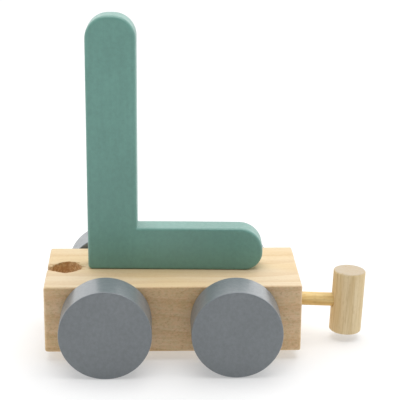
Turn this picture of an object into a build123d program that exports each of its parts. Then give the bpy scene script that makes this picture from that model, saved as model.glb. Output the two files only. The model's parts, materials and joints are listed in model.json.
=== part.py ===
from build123d import *
import os
from math import cos, radians, sin

# A wooden letter-train wagon. Lengths are in millimetres and angles in degrees.
# It stands on the plane Z = 0. X runs along the wagon towards the coupling peg, which is its front.
# The origin is on the ground, under the middle of the overall length and width.

# Chassis block: a pine block with softened edges.
block_length = 62.0
block_width = 28.0
block_height = 16.8
block_edge_radius = 0.5
ground_clearance = 2.4

# Wheels: plain discs, bored blind on the inner face and glued to a dowel axle.
wheel_radius = 11.0
wheel_thickness = 10.0
wheel_edge_radius = 0.3
wheel_side_gap = 0.6
wheelbase = 31.0
rear_overhang = 14.9
axle_radius = 2.0
axle_running_gap = 0.08
axle_seat_depth = 6.0

# Coupling socket: an upright hole through the block, with a slot sawn to it from the rear end.
socket_radius = 4.15
socket_setback = 4.8
slot_width = 4.0

# Coupling peg: a thin rod with an upright dowel for a head. It is glued in a little out of square,
# so that it droops towards its head.
rod_radius = 1.7
rod_height = 10.6
rod_seat_depth = 8.0
head_radius = 4.0
head_length = 16.0
head_edge_radius = 0.4
head_reach = 13.0
rod_depth_in_head = 2.0
peg_droop = 2.4

# Letter board: a stem and a foot in one flat piece, glued on with two dowels. It stands a little
# behind the middle of the block and is turned a little, as glued.
letter_width = 42.95
letter_height = 63.0
letter_thickness = 6.2
stem_width = 12.1
foot_height = 10.7
stem_top_radius = 5.5
heel_radius = 1.0
toe_upper_radius = 5.8
toe_lower_radius = 4.5
letter_edge_radius = 0.6
heel_setback = 10.3
letter_shift = 0.8
letter_turn = -2.0
letter_dowel_radius = 1.5
letter_dowel_length = 12.0
letter_dowel_depth_in_block = 5.0
toe_to_front_dowel = 8.0

# Fits and finishing.
glue_gap = 0.03
seat_end_gap = 0.3
dowel_chamfer = 0.4

# Where the block, the axles, the socket and the peg lie.
droop_angle = radians(peg_droop)
head_corner_x = head_radius - head_edge_radius
head_corner_z = head_length / 2 - head_edge_radius
peg_reach = (
    (head_reach + head_corner_x) * cos(droop_angle)
    + head_corner_z * sin(droop_angle)
    + head_edge_radius
)
overall_length = block_length + peg_reach
block_rear = -overall_length / 2
block_front = block_rear + block_length
block_middle = (block_rear + block_front) / 2
block_top = ground_clearance + block_height
rear_axle_x = block_rear + rear_overhang
front_axle_x = rear_axle_x + wheelbase
socket_x = block_rear + socket_setback
wheel_inner_y = block_width / 2 + wheel_side_gap
peg_place = Location((block_front, 0, rod_height), (0, peg_droop, 0))

# The letter is drawn with its heel at the origin, then turned about the middle of its width.
letter_middle = block_rear + heel_setback + letter_width / 2
letter_place = Location((letter_middle, letter_shift, block_top), (0, 0, letter_turn))
rear_dowel_offset = stem_width / 2 - letter_width / 2
front_dowel_offset = letter_width / 2 - toe_to_front_dowel


def cross_cylinder(x, y, z, radius, length):
    """A cylinder along Y, centred on the given point."""
    return Pos(x, y, z) * Rot(90, 0, 0) * Cylinder(radius, length)


def rod_along_x(radius, start, end):
    """A cylinder along X between two places, in the peg's own frame."""
    return Pos((start + end) / 2, 0, 0) * Rot(0, 90, 0) * Cylinder(radius, end - start)


def soften_ends(cylinder, size):
    """Chamfer both ends of a dowel."""
    return chamfer(cylinder.edges().filter_by(GeomType.CIRCLE), size)


def letter_dowel_at(offset, radius, extra_length):
    """A dowel, or the bore for one, standing in the joint between the letter and the block."""
    length = letter_dowel_length + 2 * extra_length
    middle_z = letter_dowel_length / 2 - letter_dowel_depth_in_block
    return letter_place * Pos(offset, 0, middle_z) * Cylinder(radius, length)


def letter_dowel_bores():
    """The bores for both letter dowels, running through the letter's foot and the block's top."""
    radius = letter_dowel_radius + glue_gap
    rear_bore = letter_dowel_at(rear_dowel_offset, radius, seat_end_gap)
    front_bore = letter_dowel_at(front_dowel_offset, radius, seat_end_gap)
    return rear_bore + front_bore


def make_block():
    """The chassis block, with its axle bores, coupling socket and slot, and seats for the glued pieces."""
    middle_z = ground_clearance + block_height / 2
    block = Pos(block_middle, 0, middle_z) * Box(block_length, block_width, block_height)
    block = fillet(block.edges(), block_edge_radius)
    for axle_x in (rear_axle_x, front_axle_x):
        bore_radius = axle_radius + axle_running_gap
        block -= cross_cylinder(axle_x, 0, wheel_radius, bore_radius, block_width)
    block -= Pos(socket_x, 0, middle_z) * Cylinder(socket_radius, block_height)
    slot_middle = (block_rear + socket_x) / 2
    block -= Pos(slot_middle, 0, middle_z) * Box(socket_setback, slot_width, block_height)
    rod_seat = rod_along_x(rod_radius + glue_gap, -rod_seat_depth - seat_end_gap, rod_radius)
    block -= peg_place * rod_seat
    block -= letter_dowel_bores()
    return block


def make_axle(axle_x):
    """A dowel axle that turns in the block and is glued into both of its wheels."""
    length = 2 * (wheel_inner_y + axle_seat_depth)
    return soften_ends(cross_cylinder(axle_x, 0, wheel_radius, axle_radius, length), dowel_chamfer)


def make_wheel(axle_x, side):
    """A disc wheel with a blind bore on its inner face. Side is 1 for the left and -1 for the right."""
    middle_y = side * (wheel_inner_y + wheel_thickness / 2)
    wheel = cross_cylinder(axle_x, middle_y, wheel_radius, wheel_radius, wheel_thickness)
    wheel = fillet(wheel.edges().filter_by(GeomType.CIRCLE), wheel_edge_radius)
    bore_depth = axle_seat_depth + seat_end_gap
    bore_y = side * (wheel_inner_y + bore_depth / 2)
    return wheel - cross_cylinder(axle_x, bore_y, wheel_radius, axle_radius + glue_gap, bore_depth)


def make_rod():
    """The coupling rod, glued into the block's front end and into the back of the head."""
    rod = rod_along_x(rod_radius, -rod_seat_depth, head_reach + rod_depth_in_head)
    return peg_place * soften_ends(rod, dowel_chamfer)


def make_head():
    """The coupling head: an upright dowel with a cross bore that stops short of its front."""
    head = fillet(Cylinder(head_radius, head_length).edges(), head_edge_radius)
    head = Pos(head_reach, 0, 0) * head
    bore_end = head_reach + rod_depth_in_head + seat_end_gap
    bore = rod_along_x(rod_radius + glue_gap, head_reach - head_radius, bore_end)
    return peg_place * (head - bore)


def make_letter():
    """The letter board, with rounded corners and softened edges."""
    outline = Polygon(
        (0, 0),
        (letter_width, 0),
        (letter_width, foot_height),
        (stem_width, foot_height),
        (stem_width, letter_height),
        (0, letter_height),
        align=None,
    )
    rounded_corners = [
        ((0, 0), heel_radius),
        ((letter_width, 0), toe_lower_radius),
        ((letter_width, foot_height), toe_upper_radius),
        ((stem_width, letter_height), stem_top_radius),
        ((0, letter_height), stem_top_radius),
    ]
    for point, radius in rounded_corners:
        corner = outline.vertices().sort_by_distance(point)[0]
        outline = fillet(corner, radius)
    board = extrude(Plane.XZ * outline, amount=letter_thickness / 2, both=True)
    board = fillet(board.faces().filter_by(Axis.Y).edges(), letter_edge_radius)
    board = letter_place * Pos(-letter_width / 2, 0, 0) * board
    return board - letter_dowel_bores()


def make_letter_dowel(offset):
    """A dowel between the letter and the block."""
    dowel = Cylinder(letter_dowel_radius, letter_dowel_length)
    middle_z = letter_dowel_length / 2 - letter_dowel_depth_in_block
    return letter_place * Pos(offset, 0, middle_z) * soften_ends(dowel, dowel_chamfer)


pieces = {
    "chassis_block": make_block(),
    "letter_upright": make_letter(),
    "coupling_rod": make_rod(),
    "coupling_head": make_head(),
    "letter_dowel_rear": make_letter_dowel(rear_dowel_offset),
    "letter_dowel_front": make_letter_dowel(front_dowel_offset),
}
for end_name, axle_x in (("rear", rear_axle_x), ("front", front_axle_x)):
    pieces[end_name + "_axle"] = make_axle(axle_x)
    for side_name, side in (("left", 1), ("right", -1)):
        pieces["wheel_" + end_name + "_" + side_name] = make_wheel(axle_x, side)

os.makedirs("parts", exist_ok=True)
for name, piece in pieces.items():
    export_step(piece, "parts/" + name + ".step")
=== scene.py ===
import json
from math import cos, pi, radians, sin, tau

import bmesh
import bpy
import numpy as np
from mathutils import Matrix, Vector


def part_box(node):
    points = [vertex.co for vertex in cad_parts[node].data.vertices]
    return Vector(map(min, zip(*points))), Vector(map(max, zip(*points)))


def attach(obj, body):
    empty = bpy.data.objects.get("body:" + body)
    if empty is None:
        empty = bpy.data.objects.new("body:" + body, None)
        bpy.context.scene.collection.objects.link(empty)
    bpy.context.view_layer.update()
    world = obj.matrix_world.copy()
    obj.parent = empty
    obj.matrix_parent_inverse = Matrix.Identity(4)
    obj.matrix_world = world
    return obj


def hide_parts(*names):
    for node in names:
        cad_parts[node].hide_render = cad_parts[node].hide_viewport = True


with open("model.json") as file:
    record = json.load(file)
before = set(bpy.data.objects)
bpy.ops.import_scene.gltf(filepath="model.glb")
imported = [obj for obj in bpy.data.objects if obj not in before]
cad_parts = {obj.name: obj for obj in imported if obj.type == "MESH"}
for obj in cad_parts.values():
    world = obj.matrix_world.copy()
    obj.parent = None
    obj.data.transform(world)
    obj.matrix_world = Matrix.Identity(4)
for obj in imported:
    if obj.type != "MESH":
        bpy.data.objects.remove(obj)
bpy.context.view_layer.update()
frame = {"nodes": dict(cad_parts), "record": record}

# A wooden letter-train wagon. Everything is in metres, in the frame of the CAD model: X runs along the
# wagon towards its coupling peg, Y to its left and Z up from the ground.

MM = 0.001
PER_MM = 1000.0

# Shapes that repeat the CAD model's.
block_edge_radius = 0.5 * MM
socket_radius = 4.15 * MM
socket_setback = 4.8 * MM
slot_width = 4.0 * MM
axle_radius = 2.0 * MM
axle_running_gap = 0.08 * MM
axle_seat_depth = 6.0 * MM
wheel_edge_radius = 0.3 * MM
rod_radius = 1.7 * MM
rod_height = 10.6 * MM
rod_seat_depth = 8.0 * MM
head_radius = 4.0 * MM
head_length = 16.0 * MM
head_edge_radius = 0.4 * MM
head_reach = 13.0 * MM
rod_depth_in_head = 2.0 * MM
peg_droop = radians(2.4)
letter_width = 42.95 * MM
letter_thickness = 6.2 * MM
stem_width = 12.1 * MM
foot_height = 10.7 * MM
stem_top_radius = 5.5 * MM
heel_radius = 1.0 * MM
toe_upper_radius = 5.8 * MM
toe_lower_radius = 4.5 * MM
letter_edge_radius = 0.6 * MM
letter_turn = radians(-2.0)
letter_dowel_radius = 1.5 * MM
letter_dowel_depth_in_letter = 7.0 * MM
toe_to_front_dowel = 8.0 * MM
glue_gap = 0.03 * MM
seat_end_gap = 0.3 * MM

# Wear and unevenness that the CAD model leaves out.
chip_count = 26
# The chips' share of the socket walls' browner colour, which is partly painted shade.
chip_darkness = 0.45
fringe_length = 0.75 * MM
fringe_depth = 2.6 * MM
coarse_fibre_size = np.array([1.1, 0.7, 1.2]) * MM
fine_fibre_size = np.array([0.5, 0.35, 0.6]) * MM
socket_margin = 1.6 * MM
mouth_depth = 4.0 * MM
slot_fringe_factor = 1.5
block_wave_lengths = np.array([5.3, 3.7, 4.1]) * MM
letter_wave_lengths = np.array([6.1, 4.7]) * MM
front_wheel_undersize = 0.18 * MM
wheel_out_of_round = 0.04 * MM
rod_fibre_relief = 0.04 * MM
rod_fibre_width = 0.35 * MM
rod_fibre_squeeze = 0.03
head_flat_depth = 0.03 * MM

# Mesh making. The ripple's random numbers repeat after its lattice size.
lattice_size = 16
block_voxel = 0.34 * MM
letter_voxel = 0.3 * MM
head_voxel = 0.2 * MM
mouth_refinements = 2
gradient_step = 0.01 * MM
least_steepness = 0.2
settle_rounds = 9
evening_rounds = range(1, 6)
ease_rounds = 40
folded_below = 1.2
wheel_segments = 144
rod_segments = 72
rod_rings = 90
rod_chamfer = 0.4 * MM
corner_steps = 7
cut_softness = 0.1 * MM
mouth_softness = 0.15 * MM
random = np.random.default_rng(11)

# The stage. Each surround row gives a direction and how bright the light is from there.
surround = (((0, 1, 0), 1.47), ((1, 0, 0), 1.0), ((-1, 0, 0), 0.84))
overhead_place = (0.05, 0.02, 0.9)
overhead_aim = (0, 0, 0.03)
overhead_size = 0.9
overhead_power = 6.3
floor_reach = 12.0
floor_colour = (0.6, 0.6, 0.6, 1.0)
floor_glow = 0.36
white = (1.0, 1.0, 1.0, 1.0)

# The camera.
camera_aim = Vector((-1.9, 0.0, 36.5)) * MM
camera_distance = 339.3 * MM
camera_azimuth = radians(2.09)
camera_elevation = radians(17.64)
camera_roll = radians(0.42)
camera_lens = 124.7
camera_sensor = 36.0

# Places read from the frame.
block_low, block_high = (np.array(corner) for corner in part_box("chassis_block"))
letter_low, letter_high = (np.array(corner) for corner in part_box("letter_upright"))
block_middle = (block_low + block_high) / 2
block_half = (block_high - block_low) / 2
letter_height = letter_high[2] - letter_low[2]
letter_base_middle = np.array([*(letter_low + letter_high)[:2] / 2, letter_low[2]])
socket_x = block_low[0] + socket_setback
peg_root = np.array([block_high[0], 0, rod_height])
lengthwise, crosswise, upright = np.eye(3)


# Fields: distances from a surface, negative inside it. Each takes an array of points.

def smooth_cut(field, cutter, softness):
    """A field with a cutter taken out of it, and the edges that this leaves rounded off."""
    away = -cutter
    mix = np.clip(0.5 + 0.5 * (field - away) / softness, 0, 1)
    return away + (field - away) * mix + softness * mix * (1 - mix)


def rounded_box(points, middle, half, radius):
    """A box with rounded edges. The radius may differ from point to point."""
    reach = np.abs(points - middle) - half + np.reshape(radius, (-1, 1))
    outside = np.linalg.norm(np.maximum(reach, 0), axis=1)
    return outside + np.minimum(reach.max(axis=1), 0) - radius


def cylinder(points, middle, axis, radius, half_length):
    """A cylinder along a unit axis."""
    offset = points - middle
    along = offset @ axis
    across = np.linalg.norm(offset - along[:, None] * axis, axis=1)
    return np.maximum(across - radius, np.abs(along) - half_length)


def ellipsoid(points, middle, size):
    """Roughly the distance from an ellipsoid with those three half sizes."""
    return (np.linalg.norm((points - middle) / size, axis=1) - 1) * min(size)


def corner_box(x, y, low, high, radii):
    """A flat box with its own corner radii: lower left, lower right, upper right, upper left."""
    across = x - (low[0] + high[0]) / 2
    up = y - (low[1] + high[1]) / 2
    right = across > 0
    top = up > 0
    radius = np.where(top, np.where(right, radii[2], radii[3]), np.where(right, radii[1], radii[0]))
    reach_x = np.abs(across) - (high[0] - low[0]) / 2 + radius
    reach_y = np.abs(up) - (high[1] - low[1]) / 2 + radius
    outside = np.hypot(np.maximum(reach_x, 0), np.maximum(reach_y, 0))
    return outside + np.minimum(np.maximum(reach_x, reach_y), 0) - radius


def ripple(points, size, seed):
    """Smooth random numbers from 0 to 1, with features of the given size."""
    lattice = np.random.default_rng(seed).random((lattice_size,) * 3)
    scaled = points / size
    corner = np.floor(scaled).astype(int)
    share = scaled - corner
    share = share * share * (3 - 2 * share)
    total = np.zeros(len(points))
    for step in np.ndindex(2, 2, 2):
        weight = np.prod(np.where(np.array(step) == 1, share, 1 - share), axis=1)
        spot = (corner + step) % lattice_size
        total += weight * lattice[spot[:, 0], spot[:, 1], spot[:, 2]]
    return total


# Meshes.

def remeshed(node, voxel):
    """A CAD node's surface as small even quads: an array of points and a list of faces."""
    copy = bpy.data.objects.new("remesh", frame["nodes"][node].data.copy())
    bpy.context.scene.collection.objects.link(copy)
    remesh = copy.modifiers.new("remesh", "REMESH")
    remesh.mode = "VOXEL"
    remesh.voxel_size = voxel
    evaluated = copy.evaluated_get(bpy.context.evaluated_depsgraph_get())
    mesh = bpy.data.meshes.new_from_object(evaluated)
    points = np.empty(len(mesh.vertices) * 3)
    mesh.vertices.foreach_get("co", points)
    faces = [tuple(face.vertices) for face in mesh.polygons]
    bpy.data.objects.remove(copy)
    bpy.data.meshes.remove(mesh)
    return points.reshape(-1, 3), faces


def refined(points, faces, is_near):
    """The same surface with the faces near a feature divided in four."""
    mesh = bpy.data.meshes.new("refined")
    mesh.from_pydata(points.tolist(), [], faces)
    made = bmesh.new()
    made.from_mesh(mesh)
    bpy.data.meshes.remove(mesh)
    near = is_near(np.array([face.calc_center_median() for face in made.faces]))
    edges = {edge for face, wanted in zip(made.faces, near) if wanted for edge in face.edges}
    bmesh.ops.subdivide_edges(made, edges=list(edges), cuts=1, use_grid_fill=True)
    made.verts.index_update()
    points = np.array([vertex.co for vertex in made.verts])
    faces = [tuple(vertex.index for vertex in face.verts) for face in made.faces]
    made.free()
    return points, faces


def slope(points, field):
    """A field's gradient at each point."""
    parts = []
    for step in np.eye(3) * gradient_step:
        parts.append(field(points + step) - field(points - step))
    return np.stack(parts, axis=1) / (2 * gradient_step)


def edges_of(faces):
    """Every edge of a mesh once, as a pair of point numbers."""
    pairs = {(min(pair), max(pair)) for face in faces for pair in zip(face, face[1:] + face[:1])}
    return np.array(sorted(pairs))


def evened(points, edges):
    """Each point moved half way towards the middle of its neighbours."""
    near = np.concatenate([edges[:, 0], edges[:, 1]])
    far = np.concatenate([edges[:, 1], edges[:, 0]])
    count = np.bincount(near, minlength=len(points))
    middle = [np.bincount(near, points[far, axis], len(points)) / count for axis in range(3)]
    return (points + np.stack(middle, axis=1)) / 2


def settled(points, faces, field):
    """Points brought onto a field's surface, spread evenly over it, and any folded faces eased flat."""
    edges = edges_of(faces)
    for turn in range(settle_rounds):
        if turn in evening_rounds:
            points = evened(points, edges)
        gradient = slope(points, field)
        steepness = np.maximum((gradient ** 2).sum(axis=1), least_steepness)
        points = points - gradient * (field(points) / steepness)[:, None]
    quads = np.array([face for face in faces if len(face) == 4])
    outward = unit(slope(points, field))
    for _ in range(ease_rounds):
        corners = points[quads]
        across = np.cross(corners[:, 2] - corners[:, 0], corners[:, 3] - corners[:, 1])
        turned = (unit(across) * outward[quads].sum(axis=1)).sum(axis=1) < folded_below
        folded = np.unique(quads[turned])
        points[folded] = evened(points, edges)[folded]
    return points


def lathe(profile, segments):
    """A profile of (radius, height) pairs turned about Z and closed at both ends by a fan."""
    points = [(0.0, 0.0, profile[0][1])]
    for radius, height in profile:
        for turn in range(segments):
            angle = tau * turn / segments
            points.append((radius * cos(angle), radius * sin(angle), height))
    points.append((0.0, 0.0, profile[-1][1]))
    last = len(points) - 1
    faces = []
    for turn in range(segments):
        following = (turn + 1) % segments
        faces.append((0, 1 + following, 1 + turn))
        for ring in range(len(profile) - 1):
            low = 1 + ring * segments
            high = low + segments
            faces.append((low + turn, low + following, high + following, high + turn))
        end = last - segments
        faces.append((last, end + turn, end + following))
    return np.array(points), faces


def placed(points, matrix):
    """Points moved by a 4 by 4 matrix."""
    matrix = np.array(matrix)
    return points @ matrix[:3, :3].T + matrix[:3, 3]


def add_mesh(name, points, faces, material, marks=None, normals=None):
    """A new smooth object. Marks are its named values, one per point."""
    mesh = bpy.data.meshes.new(name)
    mesh.from_pydata(points.tolist(), [], faces)
    mesh.update()
    mesh.shade_smooth()
    for mark, values in (marks or {}).items():
        attribute = mesh.attributes.new(mark, "FLOAT", "POINT")
        attribute.data.foreach_set("value", np.asarray(values, dtype=np.float32))
    if normals is not None:
        mesh.normals_split_custom_set_from_vertices(normals.tolist())
    mesh.materials.append(material)
    piece = bpy.data.objects.new(name, mesh)
    bpy.context.scene.collection.objects.link(piece)
    return piece


def fit_piece(piece, body, nodes):
    """Let a piece stand for CAD nodes, and move with its body."""
    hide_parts(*nodes)
    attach(piece, body)


def unit(vectors):
    """Vectors scaled to length 1."""
    return vectors / np.maximum(np.linalg.norm(vectors, axis=1), 1e-9)[:, None]


# Materials.

class Shader:
    """A material being made: it adds nodes and joins them up."""

    def __init__(self, name):
        self.material = bpy.data.materials.new(name)
        self.material.use_nodes = True
        self.tree = self.material.node_tree
        self.surface = self.tree.nodes["Principled BSDF"]
        self.place = self.tree.nodes.new("ShaderNodeTexCoord").outputs["Object"]

    def feed(self, socket, value):
        """Join an output to a socket, or set the socket's own value."""
        if isinstance(value, bpy.types.NodeSocket):
            self.tree.links.new(value, socket)
        else:
            socket.default_value = value

    def add(self, kind, settings, inputs):
        """A new node with those settings and inputs. Inputs are keyed by name or by number."""
        node = self.tree.nodes.new("ShaderNode" + kind)
        for name, value in settings.items():
            setattr(node, name, value)
        for key, value in inputs.items():
            self.feed(node.inputs[key], value)
        return node

    def stretched(self, scale, shift=(0.0, 0.0, 0.0), turn=(0.0, 0.0, 0.0)):
        """Object coordinates moved and turned, then scaled. The scale is in repeats per millimetre."""
        moved = self.add("Mapping", {"vector_type": "TEXTURE"}, {0: self.place, 1: shift, 2: turn})
        return self.times(moved.outputs[0], tuple(PER_MM * part for part in scale))

    def times(self, vector, scale):
        """A vector with each part multiplied by its own number."""
        node = self.add("VectorMath", {"operation": "MULTIPLY"}, {0: vector, 1: scale})
        return node.outputs[0]

    def noise(self, place, detail=2.0, roughness=0.5, distortion=0.0):
        """Noise with features about one unit of its coordinates across."""
        inputs = {"Vector": place, "Scale": 1.0, "Detail": detail}
        inputs.update({"Roughness": roughness, "Distortion": distortion})
        return self.add("TexNoise", {}, inputs).outputs[0]

    def spots(self, place):
        """Distance from the nearest of a scatter of random points."""
        return self.add("TexVoronoi", {}, {"Vector": place, "Scale": 1.0}).outputs["Distance"]

    def math(self, operation, first, second=0.0):
        """Arithmetic on one or two values."""
        return self.add("Math", {"operation": operation}, {0: first, 1: second}).outputs[0]

    def weighted(self, *terms):
        """A sum of values, each given with its weight."""
        total = None
        for value, weight in terms:
            part = self.math("MULTIPLY", value, weight)
            total = part if total is None else self.math("ADD", total, part)
        return total

    def length(self, vector):
        """A vector's length."""
        return self.add("VectorMath", {"operation": "LENGTH"}, {0: vector}).outputs["Value"]

    def spread(self, value, low, high, to_low=0.0, to_high=1.0):
        """A value's range from low to high stretched to another range, and held there beyond it."""
        inputs = {0: value, 1: low, 2: high, 3: to_low, 4: to_high}
        return self.add("MapRange", {"interpolation_type": "SMOOTHSTEP"}, inputs).outputs[0]

    def mix(self, factor, first, second, blend="MIX"):
        """One colour blended into another."""
        settings = {"data_type": "RGBA", "blend_type": blend}
        return self.add("Mix", settings, {0: factor, 6: first, 7: second}).outputs[2]

    def mark(self, name):
        """A value that the mesh holds for each point."""
        return self.add("Attribute", {"attribute_name": name}, {}).outputs["Fac"]

    def bump(self, height, depth):
        """Raise the surface by a height from 0 to 1, times a depth in metres."""
        node = self.add("Bump", {}, {"Strength": 1.0, "Distance": depth, "Height": height})
        self.feed(self.surface.inputs["Normal"], node.outputs[0])

    def finish(self, colour, roughness, specular):
        """Set the surface's colour, roughness and gloss."""
        self.feed(self.surface.inputs["Base Color"], colour)
        self.feed(self.surface.inputs["Roughness"], roughness)
        self.surface.inputs["Specular IOR Level"].default_value = specular
        return self.material


def linear(red, green, blue):
    """A colour given as 0 to 255 display values, as the linear colour that a shader takes."""
    parts = []
    for value in (red, green, blue):
        share = value / 255
        parts.append(share / 12.92 if share <= 0.04045 else ((share + 0.055) / 1.055) ** 2.4)
    return (*parts, 1.0)


def pine_material():
    """Sanded pine, its grain along X: faint rings, fibres, flecks and pores. The front and back faces
    are tinted darker and warmer than the top and carry more dark flecks, which is painted shade; the
    socket walls are browner, partly the bored fibres' own colour and partly painted shade of the deep
    hole.
    """
    shader = Shader("pine")
    pith = (0.0, 27 * MM, -30 * MM)
    wander = shader.noise(shader.stretched((0.011, 0.06, 0.06)), detail=2.0)
    radius = shader.length(shader.stretched((0.0, 1.0, 1.0), shift=pith))
    bent = shader.math("ADD", radius, shader.math("MULTIPLY", wander, 11.0))
    phase = shader.math("FRACT", shader.math("DIVIDE", bent, 2.9))
    late = shader.math("MULTIPLY", shader.spread(phase, 0.35, 0.9), shader.spread(phase, 1.0, 0.94))
    fibres = shader.noise(shader.stretched((0.07, 2.6, 2.6)), detail=3.0, roughness=0.6)
    flecks = shader.noise(shader.stretched((1.3, 2.2, 2.2)), detail=4.0, roughness=0.75)
    patches = shader.noise(shader.stretched((0.03, 0.12, 0.12), shift=(0.03, 0.01, 0.0)), detail=2.0)
    canals = shader.noise(shader.stretched((0.16, 3.4, 3.4), shift=(0.1, 0, 0)))
    mottle = shader.noise(shader.stretched((0.75, 1.1, 1.1)), detail=3.0, roughness=0.7)
    torn = shader.noise(shader.stretched((1.1, 2.6, 1.4)), detail=4.0, roughness=0.75)
    early_wood = linear(228, 208, 176)
    late_wood = linear(206, 170, 122)
    warm_wood = linear(226, 200, 156)
    dark_wood = linear(168, 128, 84)
    pink_tint = (1.03, 0.91, 0.85, 1.0)
    yellow_tint = (0.93, 0.87, 0.78, 1.0)
    # Painted shade: the side mark picks out the front and back faces, which are drawn darker and warmer
    # than the top by a mottled pink and yellow multiply, and carry more dark flecks.
    side = shader.mark("side")
    colour = shader.mix(shader.spread(patches, 0.3, 0.7), early_wood, warm_wood)
    colour = shader.mix(shader.math("MULTIPLY", late, 0.35), colour, late_wood)
    colour = shader.mix(shader.spread(fibres, 0.4, 0.75, 0.0, 0.3), colour, late_wood)
    side_shade_tint = shader.mix(shader.spread(mottle, 0.35, 0.65), pink_tint, yellow_tint)
    colour = shader.mix(side, colour, shader.mix(1.0, colour, side_shade_tint, "MULTIPLY"))
    fleck_strength = shader.spread(side, 0.0, 1.0, 0.15, 0.5)
    dark_flecks = shader.math("MULTIPLY", shader.spread(flecks, 0.5, 0.72), fleck_strength)
    colour = shader.mix(dark_flecks, colour, dark_wood)
    colour = shader.mix(shader.spread(flecks, 0.48, 0.3, 0.0, 0.5), colour, early_wood)
    colour = shader.mix(shader.spread(canals, 0.7, 0.8, 0.0, 0.45), colour, dark_wood)
    # Painted shade: the socket walls are drawn browner and darker than the face wood, partly the bored
    # fibres' own colour and partly shade of the deep hole.
    drilled_and_shaded = shader.mix(shader.spread(torn, 0.38, 0.62), linear(200, 154, 104), linear(234, 202, 152))
    colour = shader.mix(shader.mark("drilled_and_shaded"), colour, drilled_and_shaded)
    shader.bump(shader.weighted((late, 0.4), (fibres, 0.8), (flecks, 0.5)), 0.03 * MM)
    return shader.finish(colour, shader.spread(fibres, 0.3, 0.7, 0.55, 0.72), 0.35)


def scaled(colour, share):
    """A colour made darker or lighter by the same share all over."""
    return (*(part * share for part in colour[:3]), 1.0)


def paint_material(name, colour, edge_highlight_colour, grain_scale, roughness, unevenness, seed):
    """Satin paint on wood: patches, dust specks, brushed grain showing through, and a painted highlight
    in patches along the rounded edges.
    """
    shader = Shader(name)
    shift = (seed * MM, 2 * seed * MM, 0.0)
    patches = shader.noise(shader.stretched((0.05, 0.05, 0.05), shift=shift), detail=2.0)
    grain = shader.noise(shader.stretched(grain_scale, shift=shift), detail=3.0, roughness=0.6)
    peel = shader.noise(shader.stretched((1.3, 1.3, 1.3), shift=shift), detail=2.0)
    mottle = shader.noise(shader.stretched((1.1, 1.1, 0.9), shift=shift), detail=4.0, roughness=0.75)
    speck = shader.spread(shader.spots(shader.stretched((0.55, 0.55, 0.55), shift=shift)), 0.11, 0.05)
    rare = shader.spread(shader.noise(shader.stretched((0.3, 0.3, 0.3), shift=shift)), 0.55, 0.62)
    specks = shader.math("MULTIPLY", speck, rare)
    dark = scaled(colour, 0.92)
    thickness = shader.mix(
        shader.spread(mottle, 0.3, 0.7), scaled(white, 1 - unevenness), scaled(white, 1 + unevenness)
    )
    mixed = shader.mix(shader.spread(patches, 0.25, 0.75), dark, scaled(colour, 1.06))
    mixed = shader.mix(shader.spread(grain, 0.35, 0.7, 0.0, 0.5), mixed, dark)
    mixed = shader.mix(1.0, mixed, thickness, "MULTIPLY")
    mixed = shader.mix(shader.math("MULTIPLY", specks, 0.5), mixed, scaled(colour, 0.75))
    # Painted highlight: the rounded edges are drawn lighter, in patches, standing for light caught on
    # them.
    edge_highlight = shader.math("MULTIPLY", shader.mark("edge"), shader.spread(peel, 0.35, 0.7, 0.25, 0.7))
    mixed = shader.mix(edge_highlight, mixed, edge_highlight_colour)
    shader.bump(shader.weighted((peel, 0.6), (grain, 0.5), (mottle, 0.8), (specks, 0.8)), 0.04 * MM)
    shader.surface.inputs["Coat Weight"].default_value = 0.3
    shader.surface.inputs["Coat Roughness"].default_value = roughness
    gloss = shader.spread(peel, 0.25, 0.75, roughness - 0.05, roughness + 0.07)
    return shader.finish(mixed, gloss, 0.5)


def dowel_material(name, colours, middle, turn, scale):
    """A dowel's wood, its grain along its own Z: fibres, streaks, and sanded ends with fine checks.
    The colours are the pale wood, the dark wood, the streaks and the ends."""
    pale, dark, streak_colour, end_colour = colours
    shader = Shader(name)
    place = shader.stretched((1.0, 1.0, 1.0), shift=middle, turn=turn)
    fibres = shader.noise(shader.times(place, (scale, scale, scale * 0.03)), detail=3.0, roughness=0.65)
    streaks = shader.noise(shader.times(place, (0.5, 0.5, 0.04)), detail=2.0)
    flecks = shader.noise(shader.times(place, (2.2, 2.2, 0.7)), detail=2.0)
    pores = shader.noise(shader.times(place, (4.5, 4.5, 4.5)), detail=2.0)
    checks = shader.noise(shader.times(place, (0.55, 0.55, 0.0)), detail=2.0, distortion=0.6)
    from_check = shader.math("ABSOLUTE", shader.math("SUBTRACT", checks, 0.5))
    colour = shader.mix(shader.spread(streaks, 0.3, 0.7), pale, dark)
    colour = shader.mix(shader.spread(fibres, 0.42, 0.72, 0.0, 0.5), colour, streak_colour)
    colour = shader.mix(shader.spread(flecks, 0.5, 0.75, 0.0, 0.25), colour, streak_colour)
    end = shader.mix(shader.spread(pores, 0.4, 0.7, 0.0, 0.25), end_colour, dark)
    end = shader.mix(shader.spread(from_check, 0.03, 0.0, 0.0, 0.5), end, streak_colour)
    colour = shader.mix(shader.mark("end"), colour, end)
    shader.bump(shader.weighted((fibres, 0.8), (flecks, 0.4)), 0.03 * MM)
    return shader.finish(colour, shader.spread(fibres, 0.3, 0.7, 0.5, 0.68), 0.35)


# Colours, and how fine each dowel's grain is.

mint = linear(105, 154, 143)
# The lighter mint and grey are painted highlights for the rounded edges.
mint_edge_highlight = linear(130, 174, 163)
grey = linear(118, 124, 128)
grey_edge_highlight = linear(128, 134, 138)
dowel_colours = (
    linear(230, 210, 170),
    linear(220, 196, 150),
    linear(190, 160, 112),
    linear(192, 177, 155),
)
bamboo_colours = (
    linear(240, 216, 156),
    linear(222, 186, 116),
    linear(160, 112, 54),
    linear(222, 186, 116),
)
dowel_grain_scale = 2.6
bamboo_grain_scale = 3.2


# Pieces.

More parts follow.
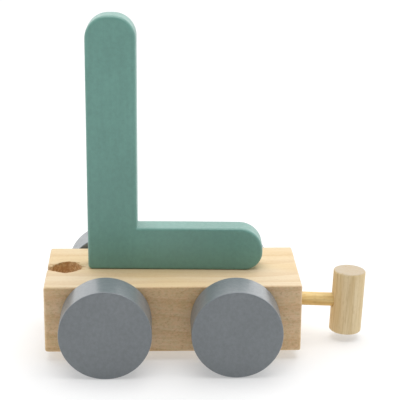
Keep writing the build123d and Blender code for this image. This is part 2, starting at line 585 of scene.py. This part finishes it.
def socket_chips():
    """Splinters torn out around the socket's mouth, long along the grain and mostly at its ends."""
    chips = []
    for _ in range(chip_count):
        side = random.choice((-1, 1))
        angle = random.normal(0.0, 0.32)
        reach = socket_radius + random.uniform(-0.3, 0.35) * MM
        middle = np.array([
            socket_x + side * reach * cos(angle),
            reach * sin(angle),
            block_high[2] + random.uniform(-0.02, 0.1) * MM,
        ])
        length = random.uniform(0.4, 0.9)
        width = random.uniform(0.2, 0.34)
        depth = random.uniform(0.15, 0.26)
        chips.append((middle, np.array([length, width, depth]) * MM))
    return chips


def near_socket_mouth(at):
    """Whether each point lies around the socket's and the slot's upper edge."""
    around = np.hypot(at[:, 0] - socket_x, at[:, 1]) < socket_radius + socket_margin
    return around & (at[:, 2] > block_high[2] - mouth_depth)


def fringe(at):
    """How far torn fibres stand into the socket and the slot. They hang at the mouth, thin out below
    it, and stand out furthest in two opposite quarters, where the drill lifted the grain."""
    depth = np.minimum(block_high[2] - at[:, 2], at[:, 2] - block_low[2])
    share = np.clip(1 - depth / fringe_depth, 0, 1)
    length = np.zeros(len(at))
    across = np.hypot(at[:, 0] - socket_x, at[:, 1])
    lifted = np.clip(-2 * (at[:, 0] - socket_x) * at[:, 1] / np.maximum(across, 1e-6) ** 2, 0, 1)
    mouth = (share > 0) & (across < socket_radius + socket_margin)
    coarse = ripple(at[mouth], coarse_fibre_size, seed=3)
    fine = ripple(at[mouth], fine_fibre_size, seed=8)
    length[mouth] = (0.8 * coarse + 0.6 * fine) * (1 - 0.5 * lifted[mouth])
    length[mouth] += lifted[mouth] * (0.7 + 0.4 * coarse)
    return length * share * fringe_length


def cut_socket_and_slot(shape, at):
    """Take the coupling socket and its slot out of the block, with torn fibres at their edges."""
    socket_middle = np.array([socket_x, 0, block_middle[2]])
    offset = at - socket_middle
    across = np.hypot(offset[:, 0], offset[:, 1])
    endward = np.abs(offset[:, 0]) / np.maximum(across, 1e-6)
    hanging = fringe(at)
    socket = across - socket_radius + hanging * (0.35 + 0.65 * endward)
    shape = smooth_cut(shape, socket, mouth_softness)
    slot_side = np.abs(at[:, 1]) - slot_width / 2 + slot_fringe_factor * hanging
    slot = np.maximum(slot_side, at[:, 0] - socket_x)
    return smooth_cut(shape, slot, mouth_softness)


def cut_seats(shape, at):
    """Take the axle bores and the seats for the glued pieces out of the block."""
    peg_axis = np.array([cos(peg_droop), 0.0, -sin(peg_droop)])
    for node in ("rear_axle", "front_axle"):
        place = np.mean(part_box(node), axis=0)
        bore = cylinder(at, place, crosswise, axle_radius + axle_running_gap, block_half[1] * 2)
        shape = smooth_cut(shape, bore, mouth_softness)
    seat = cylinder(at, peg_root, peg_axis, rod_radius + glue_gap, rod_seat_depth + seat_end_gap)
    shape = smooth_cut(shape, seat, cut_softness)
    for node in ("letter_dowel_rear", "letter_dowel_front"):
        low, high = (np.array(corner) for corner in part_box(node))
        half_length = (high[2] - low[2]) / 2 + seat_end_gap
        bore = cylinder(at, (low + high) / 2, upright, letter_dowel_radius + glue_gap, half_length)
        shape = smooth_cut(shape, bore, cut_softness)
    return shape


def add_block():
    """The chassis block: softened and slightly uneven edges, a torn socket mouth and a sawn slot."""
    points, faces = remeshed("chassis_block", block_voxel)
    for _ in range(mouth_refinements):
        points, faces = refined(points, faces, near_socket_mouth)
    chips = socket_chips()

    def field(at):
        rearward = np.clip((block_middle[0] - at[:, 0]) / block_half[0], 0, 1)
        waves = np.prod(np.sin(at / block_wave_lengths + (0, 1, 0)), axis=1)
        radius = block_edge_radius * (0.85 + 0.35 * rearward + 0.15 * waves)
        shape = rounded_box(at, block_middle, block_half, radius)
        shape = cut_seats(cut_socket_and_slot(shape, at), at)
        for middle, size in chips:
            shape = smooth_cut(shape, ellipsoid(at, middle, size), cut_softness)
        return shape

    points = settled(points, faces, field)
    normals = unit(slope(points, field))
    walls = (np.abs(normals[:, 2]) < 0.8) & (points[:, 0] > block_low[0] + 0.3 * MM)
    in_socket = walls & (np.hypot(points[:, 0] - socket_x, points[:, 1]) < socket_radius + 0.1 * MM)
    # The socket walls, and the chips at a smaller share, are marked for the browner wall colour: partly
    # the cut fibres' own colour, partly painted shade of the hole.
    drilled_and_shaded = np.where(in_socket, 1.0, 0.0)
    # Painted shade: the front and back faces are marked, so that the pine is drawn darker and warmer
    # there than on top.
    side = np.abs(normals[:, 1]) ** 2
    for middle, size in chips:
        in_chip = ellipsoid(points, middle, size * 1.1) < 0
        drilled_and_shaded = np.maximum(drilled_and_shaded, np.where(in_chip, chip_darkness, 0.0))
    marks = {"drilled_and_shaded": drilled_and_shaded, "side": side * (1 - drilled_and_shaded)}
    block = add_mesh("block", points, faces, pine_material(), marks, normals)
    fit_piece(block, "wagon", ["chassis_block"])


def letter_field(at):
    """The letter board in its own frame: X along the foot, Y through its thickness, Z up the stem."""
    stem_low, stem_high = (0.0, 0.0), (stem_width, letter_height)
    foot_low, foot_high = (0.0, 0.0), (letter_width, foot_height)
    stem_radii = (heel_radius, 0.0, stem_top_radius, stem_top_radius)
    foot_radii = (heel_radius, toe_lower_radius, toe_upper_radius, 0.0)
    stem = corner_box(at[:, 0], at[:, 2], stem_low, stem_high, stem_radii)
    foot = corner_box(at[:, 0], at[:, 2], foot_low, foot_high, foot_radii)
    waves = np.prod(np.sin(at[:, [0, 2]] / letter_wave_lengths + (1, 0)), axis=1)
    near_top = np.clip(at[:, 2] / letter_height * 5 - 4, 0, 1)
    radius = letter_edge_radius * (1 + 0.15 * waves + 0.3 * near_top)
    outline = np.minimum(stem, foot) + radius
    face = np.abs(at[:, 1]) - letter_thickness / 2 + radius
    outside = np.hypot(np.maximum(outline, 0), np.maximum(face, 0))
    return outside + np.minimum(np.maximum(outline, face), 0) - radius


def add_letter():
    """The painted letter board."""
    points, faces = remeshed("letter_upright", letter_voxel)
    place = Matrix.Translation(Vector(letter_base_middle)) @ Matrix.Rotation(letter_turn, 4, "Z")
    place = place @ Matrix.Translation(Vector((-letter_width / 2, 0, 0)))
    dowel_places = [np.array([x, 0, 0]) for x in (stem_width / 2, letter_width - toe_to_front_dowel)]
    bore_radius = letter_dowel_radius + glue_gap
    bore_depth = letter_dowel_depth_in_letter + seat_end_gap

    def field(at):
        shape = letter_field(at)
        for middle in dowel_places:
            bore = cylinder(at, middle, upright, bore_radius, bore_depth)
            shape = smooth_cut(shape, bore, cut_softness)
        return shape

    local = placed(points, place.inverted())
    local = settled(local, faces, field)
    normals = unit(slope(local, field))
    # The band where the face turns into the side, which takes the painted edge highlight.
    edge = np.clip(1 - np.abs(np.abs(normals[:, 1]) - 0.6) / 0.35, 0, 1)
    points = placed(local, place)
    normals = normals @ np.array(place)[:3, :3].T
    material = paint_material(
        "mint_paint", mint, mint_edge_highlight, (0.9, 0.9, 0.05), roughness=0.42, unevenness=0.06, seed=3
    )
    letter = add_mesh("letter", points, faces, material, {"edge": edge}, normals)
    fit_piece(letter, "wagon", ["letter_upright"])


def wheel_profile(radius, thickness):
    """A wheel's outline as (radius, height) pairs, from its blind bore to its outer face's middle."""
    bore = axle_radius + glue_gap
    depth = axle_seat_depth + seat_end_gap
    edge = wheel_edge_radius
    profile = [(bore * share, depth) for share in (0.3, 0.7, 0.95, 1.0)]
    profile += [(bore, depth * share) for share in (0.98, 0.66, 0.33, 0.03, 0.0)]
    flat = radius - edge
    inner_shares = (0.02, 0.15, 0.3, 0.45, 0.6, 0.75, 0.88, 0.97)
    profile += [(bore + (flat - bore) * share, 0.0) for share in inner_shares]
    for step in range(corner_steps + 1):
        angle = pi / 2 * step / corner_steps
        profile.append((flat + edge * sin(angle), edge - edge * cos(angle)))
    rim = thickness - 2 * edge
    rim_shares = (0.03, 0.12, 0.25, 0.4, 0.55, 0.7, 0.85, 0.97)
    profile += [(radius, edge + rim * share) for share in rim_shares]
    for step in range(corner_steps + 1):
        angle = pi / 2 * step / corner_steps
        profile.append((flat + edge * cos(angle), thickness - edge + edge * sin(angle)))
    outer_shares = (0.98, 0.92, 0.84, 0.76, 0.68, 0.6, 0.52, 0.44, 0.36, 0.28, 0.2, 0.12, 0.05)
    profile += [(flat * share, thickness) for share in outer_shares]
    return profile


def add_wheel(node, body, side, seed, undersize, material):
    """A disc wheel, sanded by hand: not quite round, and a little under its size."""
    low, high = (np.array(corner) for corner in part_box(node))
    radius = (high[2] - low[2]) / 2
    thickness = high[1] - low[1]
    points, faces = lathe(wheel_profile(radius, thickness), wheel_segments)
    from_axis = np.hypot(points[:, 0], points[:, 1])
    angle = np.arctan2(points[:, 1], points[:, 0])
    out_of_round = 0.5 - 0.5 * np.sin(2 * angle + seed) * np.cos(5 * angle + 2 * seed)
    outside_bore = from_axis > axle_radius * 1.1
    shrink = 1 - (undersize + wheel_out_of_round * out_of_round) / radius * outside_bore
    points[:, :2] *= shrink[:, None]
    # The rings at both faces' rounded edges, which take the painted edge highlight.
    from_edge = np.abs(from_axis - (radius - 0.25 * wheel_edge_radius))
    edge = np.clip(1 - from_edge / (0.5 * wheel_edge_radius), 0, 1)
    rim = (points[:, 2] > wheel_edge_radius) & (points[:, 2] < thickness - wheel_edge_radius)
    edge = np.where(rim, 0.0, edge)
    inner_y = low[1] if side > 0 else high[1]
    middle = (low + high) / 2
    place = Matrix.Translation((middle[0], inner_y, middle[2]))
    place = place @ Matrix.Rotation(-side * pi / 2, 4, "X")
    wheel = add_mesh(node + "_disc", placed(points, place), faces, material, {"edge": edge})
    fit_piece(wheel, body, [node])


def peg_matrix():
    """The peg's frame: its Z runs along the rod from the block's end, and its X down the head."""
    droop = Matrix.Rotation(pi / 2 + peg_droop, 4, "Y")
    return Matrix.Translation(Vector(peg_root)) @ droop


def add_rod():
    """The coupling rod: a split-bamboo stick with long raised fibres."""
    length = rod_seat_depth + head_reach + rod_depth_in_head
    profile = [(rod_radius * share, 0.0) for share in (0.25, 0.5, 0.7)]
    profile += [(rod_radius - rod_chamfer, 0.0), (rod_radius, rod_chamfer)]
    straight = length - 2 * rod_chamfer
    for ring in range(1, rod_rings):
        profile.append((rod_radius, rod_chamfer + straight * ring / rod_rings))
    profile += [(rod_radius, length - rod_chamfer), (rod_radius - rod_chamfer, length)]
    profile += [(rod_radius * share, length) for share in (0.7, 0.5, 0.25)]
    points, faces = lathe(profile, rod_segments)
    squeezed = points * np.array([1.0, 1.0, rod_fibre_squeeze])
    sunk = rod_fibre_relief * ripple(squeezed, rod_fibre_width, seed=5)
    from_axis = np.maximum(np.hypot(points[:, 0], points[:, 1]), 1e-6)
    points[:, :2] *= (1 - sunk / from_axis * (from_axis > rod_radius * 0.6))[:, None]
    points[:, 2] -= rod_seat_depth
    points = placed(points, peg_matrix())
    turn = (0.0, pi / 2 + peg_droop, 0.0)
    material = dowel_material("bamboo", bamboo_colours, tuple(peg_root), turn, bamboo_grain_scale)
    rod = add_mesh("rod", points, faces, material)
    fit_piece(rod, "wagon", ["coupling_rod"])


def add_head():
    """The coupling head: a short dowel with soft ends, bored through its side for the rod."""
    points, faces = remeshed("coupling_head", head_voxel)
    droop = Matrix.Rotation(peg_droop, 4, "Y")
    middle = Matrix.Translation(Vector(peg_root)) @ droop @ Vector((head_reach, 0, 0))
    place = Matrix.Translation(middle) @ droop
    bore_middle = np.array([(rod_depth_in_head + seat_end_gap - head_radius) / 2, 0, 0])
    bore_half = (rod_depth_in_head + seat_end_gap + head_radius) / 2

    def field(at):
        across = np.hypot(at[:, 0], at[:, 1])
        angle = np.arctan2(at[:, 1], at[:, 0])
        flats = head_flat_depth * (0.5 + 0.5 * np.sin(6 * angle + at[:, 2] / (9 * MM)))
        side = across - head_radius + head_edge_radius + flats
        end = np.abs(at @ upright) - head_length / 2 + head_edge_radius
        shape = np.hypot(np.maximum(side, 0), np.maximum(end, 0))
        shape = shape + np.minimum(np.maximum(side, end), 0) - head_edge_radius
        bore = cylinder(at, bore_middle, lengthwise, rod_radius + glue_gap, bore_half)
        return smooth_cut(shape, bore, cut_softness)

    local = settled(placed(points, place.inverted()), faces, field)
    normals = unit(slope(local, field))
    end = np.clip((np.abs(normals[:, 2]) - 0.6) / 0.3, 0, 1)
    normals = normals @ np.array(place)[:3, :3].T
    turn = (0.0, peg_droop, 0.0)
    material = dowel_material("head_dowel", dowel_colours, tuple(middle), turn, dowel_grain_scale)
    head = add_mesh("head", placed(local, place), faces, material, {"end": end}, normals)
    fit_piece(head, "wagon", ["coupling_head"])


def dress_dowels():
    """The axles and the letter's dowels keep their CAD shapes and get a dowel's wood."""
    across = (pi / 2, 0, 0)
    turns = {"rear_axle": across, "front_axle": across}
    for node in ("rear_axle", "front_axle", "letter_dowel_rear", "letter_dowel_front"):
        middle = tuple(np.mean(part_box(node), axis=0))
        turn = turns.get(node, (0, 0, 0))
        material = dowel_material(node + "_wood", dowel_colours, middle, turn, dowel_grain_scale)
        for slot in frame["nodes"][node].material_slots:
            slot.link = "OBJECT"
            slot.material = material


# The stage.

def add_floor():
    """A pale floor that runs out of sight."""
    mesh = bpy.data.meshes.new("floor")
    corners = [(x * floor_reach, y * floor_reach, 0) for x, y in ((-1, -1), (1, -1), (1, 1), (-1, 1))]
    mesh.from_pydata(corners, [], [(0, 1, 2, 3)])
    material = bpy.data.materials.new("floor")
    material.use_nodes = True
    surface = material.node_tree.nodes["Principled BSDF"]
    surface.inputs["Base Color"].default_value = floor_colour
    surface.inputs["Roughness"].default_value = 0.9
    surface.inputs["Specular IOR Level"].default_value = 0.1
    surface.inputs["Emission Color"].default_value = white
    surface.inputs["Emission Strength"].default_value = floor_glow
    mesh.materials.append(material)
    floor = bpy.data.objects.new("floor", mesh)
    bpy.context.scene.collection.objects.link(floor)


def add_overhead_light():
    """A square soft light over the wagon."""
    light = bpy.data.lights.new("overhead", "AREA")
    light.size = overhead_size
    light.energy = overhead_power
    lamp = bpy.data.objects.new("overhead", light)
    lamp.location = overhead_place
    beam = Vector(overhead_aim) - Vector(overhead_place)
    lamp.rotation_euler = beam.to_track_quat("-Z", "Y").to_euler()
    bpy.context.scene.collection.objects.link(lamp)


def add_world():
    """A bright surround behind the wagon and beside it, and a dark one in front."""
    world = bpy.data.worlds.new("surround")
    world.use_nodes = True
    tree = world.node_tree
    direction = tree.nodes.new("ShaderNodeTexCoord").outputs["Generated"]
    strength = None
    for axis, brightness in surround:
        along = tree.nodes.new("ShaderNodeVectorMath")
        along.operation = "DOT_PRODUCT"
        tree.links.new(direction, along.inputs[0])
        along.inputs[1].default_value = axis
        above = tree.nodes.new("ShaderNodeMath")
        above.operation = "MAXIMUM"
        tree.links.new(along.outputs["Value"], above.inputs[0])
        above.inputs[1].default_value = 0.0
        share = tree.nodes.new("ShaderNodeMath")
        share.operation = "MULTIPLY_ADD"
        tree.links.new(above.outputs[0], share.inputs[0])
        share.inputs[1].default_value = brightness
        share.inputs[2].default_value = 0.0
        if strength is not None:
            tree.links.new(strength, share.inputs[2])
        strength = share.outputs[0]
    tree.links.new(strength, tree.nodes["Background"].inputs["Strength"])
    tree.nodes["Background"].inputs["Color"].default_value = white
    bpy.context.scene.world = world


def add_camera():
    """A long lens from the wagon's right, a little above it."""
    turn = Matrix.Rotation(-camera_azimuth, 4, "Z") @ Matrix.Rotation(pi / 2 - camera_elevation, 4, "X")
    turn = turn @ Matrix.Rotation(camera_roll, 4, "Z")
    lens = bpy.data.cameras.new("camera")
    lens.lens = camera_lens
    lens.sensor_width = camera_sensor
    lens.clip_start = 10 * MM
    camera = bpy.data.objects.new("camera", lens)
    back = Matrix.Translation((0, 0, camera_distance))
    camera.matrix_world = Matrix.Translation(camera_aim) @ turn @ back
    bpy.context.scene.collection.objects.link(camera)
    bpy.context.scene.camera = camera


def add_wheels():
    """All four wheels, each on the body that the record gives it."""
    grey_paint = paint_material(
        "grey_paint", grey, grey_edge_highlight, (0.6, 0.6, 0.6), roughness=0.34, unevenness=0.08, seed=9
    )
    seed = 0
    for body, nodes in frame["record"]["behaviour"]["bodies"].items():
        for node in nodes:
            if not node.startswith("wheel_"):
                continue
            side = 1 if node.endswith("left") else -1
            undersize = front_wheel_undersize if body == "front_wheelset" else 0.0
            add_wheel(node, body, side, seed, undersize, grey_paint)
            seed += 1


add_camera()
add_world()
add_floor()
add_overhead_light()
add_block()
add_letter()
add_wheels()
add_rod()
add_head()
dress_dowels()
bpy.context.scene.view_settings.view_transform = "Standard"
